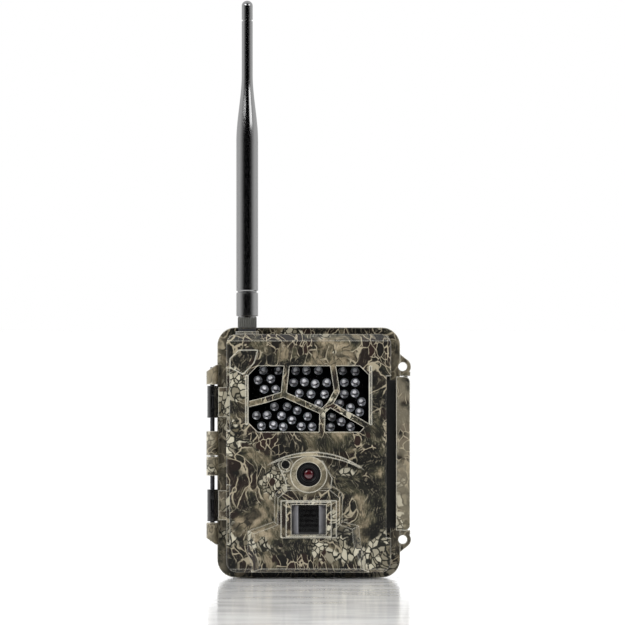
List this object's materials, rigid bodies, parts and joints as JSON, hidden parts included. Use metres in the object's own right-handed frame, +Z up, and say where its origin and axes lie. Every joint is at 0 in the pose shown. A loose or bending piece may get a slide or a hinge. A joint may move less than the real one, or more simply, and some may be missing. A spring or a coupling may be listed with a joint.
{
  "type": "trail camera",
  "caption": "Hinged box trail camera with infrared emitter window, lens, movement sensor, side latch, strap bracket and upright screw-on antenna.",
  "frame": {"origin": "centre of the bounding box's bottom: under the case, on the surface it stands on", "axes": "+Z up along the antenna, -Y out of the lens, +X to the right as the lens side is faced"},
  "size_m": [0.1186, 0.073, 0.3342],
  "materials": {
    "camo_shell": "camouflage film under clear coat, satin",
    "bracket_plastic": "fine moulded texture",
    "gloss_black": "polished",
    "window_pane": "clear acrylic",
    "emitter_epoxy": "clear epoxy over a silver cup",
    "mask_black": "dead matt",
    "lens_glass": "coated glass, dark red",
    "circuit_board": "green solder mask",
    "component_black": "moulded epoxy",
    "bright_steel": "plated",
    "dark_steel": "black oxide",
    "brass": "machined",
    "filter_glass": "tinted filter glass",
    "display_glass": "dark glossy",
    "rubber_black": "matt",
    "collar_black": "fluted, satin",
    "antenna_sheath": "satin",
    "button_rubber": "matt",
    "slider_plastic": "satin",
    "card_plastic": "satin",
    "cell_jacket": "printed film, plain"
  },
  "bodies": {
    "rear": {"rear_housing": "camo_shell", "rear_base": "camo_shell", "side_lugs": "camo_shell", "door_gasket": "rubber_black", "hinge_pins": "bright_steel", "tripod_insert": "brass", "dc_jack": "component_black", "power_board": "circuit_board", "battery_tray": "bracket_plastic", "aa_cells": "cell_jacket", "battery_springs": "bright_steel", "battery_contacts": "bright_steel", "tree_bracket": "bracket_plastic", "bracket_screws": "dark_steel"},
    "door": {"front_cover": "camo_shell", "latch_catch": "bracket_plastic", "hinge_barrel_upper": "gloss_black", "hinge_barrel_lower": "gloss_black", "light_sensor_window": "gloss_black", "pir_window": "gloss_black", "led_window_pane": "window_pane", "infrared_leds": "emitter_epoxy", "led_mask": "mask_black", "lens_barrel": "mask_black", "lens_holder": "mask_black", "inner_plate": "mask_black", "lens_glass": "lens_glass", "led_board": "circuit_board", "sensor_board": "circuit_board", "main_board": "circuit_board", "image_sensor": "component_black", "light_sensor": "component_black", "mode_switch_body": "component_black", "button_switches": "component_black", "pir_sensor": "bright_steel", "modem_module": "bright_steel", "card_sockets": "bright_steel", "usb_port": "bright_steel", "plate_screws": "dark_steel", "antenna_connector": "brass", "display": "display_glass", "antenna_seal": "rubber_black", "antenna_lead": "rubber_black"},
    "latch": {"latch": "camo_shell"},
    "port_cover": {"dc_port_cover": "rubber_black"},
    "antenna_nut": {"antenna_collar": "collar_black"},
    "antenna": {"antenna_sleeve": "antenna_sheath", "antenna_whip": "antenna_sheath", "antenna_element": "brass", "antenna_tip": "antenna_sheath"},
    "mode_slider": {"mode_slider": "slider_plastic"},
    "sd_card": {"sd_card": "card_plastic"},
    "sim_card": {"sim_card": "card_plastic"},
    "ir_filter": {"ir_filter": "filter_glass"},
    "button_up": {"button_up": "button_rubber"},
    "button_down": {"button_down": "button_rubber"},
    "button_left": {"button_left": "button_rubber"},
    "button_right": {"button_right": "button_rubber"},
    "button_ok": {"button_ok": "button_rubber"},
    "button_menu": {"button_menu": "button_rubber"}
  },
  "joints": [
    {"name": "door_hinge", "type": "hinge", "parent": "rear", "child": "door", "pos_m": [-0.0558, -0.0114, 0.0725], "axis": [0, 0, -1], "range_deg": [0, 150]},
    {"name": "latch_hinge", "type": "hinge", "parent": "rear", "child": "latch", "pos_m": [0.0562, -0.0045, 0.0722], "axis": [0, 0, 1], "range_deg": [0, 100]},
    {"name": "port_cover_flap", "type": "hinge", "parent": "rear", "child": "port_cover", "pos_m": [-0.0375, 0.0051, 0.0013], "axis": [-1, 0, 0], "range_deg": [0, 100]},
    {"name": "antenna_nut_turn", "type": "hinge", "parent": "door", "child": "antenna_nut", "pos_m": [-0.0356, -0.02, 0.148], "axis": [0, 0, 1], "continuous": true},
    {"name": "antenna_turn", "type": "hinge", "parent": "door", "child": "antenna", "pos_m": [-0.0356, -0.02, 0.16], "axis": [0, 0, 1], "continuous": true},
    {"name": "mode_slide", "type": "slide", "parent": "door", "child": "mode_slider", "axis": [0, 0, 1], "range_m": [0, 0.009]},
    {"name": "sd_card_slide", "type": "slide", "parent": "door", "child": "sd_card", "axis": [0, 0, -1], "range_m": [0, 0.012]},
    {"name": "sim_card_slide", "type": "slide", "parent": "door", "child": "sim_card", "axis": [0, 0, -1], "range_m": [0, 0.008]},
    {"name": "ir_filter_slide", "type": "slide", "parent": "door", "child": "ir_filter", "axis": [1, 0, 0], "range_m": [0, 0.0075]},
    {"name": "button_up_press", "type": "slide", "parent": "door", "child": "button_up", "axis": [0, -1, 0], "range_m": [0, 0.0008], "stiffness_N_per_m": 400},
    {"name": "button_down_press", "type": "slide", "parent": "door", "child": "button_down", "axis": [0, -1, 0], "range_m": [0, 0.0008], "stiffness_N_per_m": 400},
    {"name": "button_left_press", "type": "slide", "parent": "door", "child": "button_left", "axis": [0, -1, 0], "range_m": [0, 0.0008], "stiffness_N_per_m": 400},
    {"name": "button_right_press", "type": "slide", "parent": "door", "child": "button_right", "axis": [0, -1, 0], "range_m": [0, 0.0008], "stiffness_N_per_m": 400},
    {"name": "button_ok_press", "type": "slide", "parent": "door", "child": "button_ok", "axis": [0, -1, 0], "range_m": [0, 0.0008], "stiffness_N_per_m": 400},
    {"name": "button_menu_press", "type": "slide", "parent": "door", "child": "button_menu", "axis": [0, -1, 0], "range_m": [0, 0.0008], "stiffness_N_per_m": 400}
  ]
}
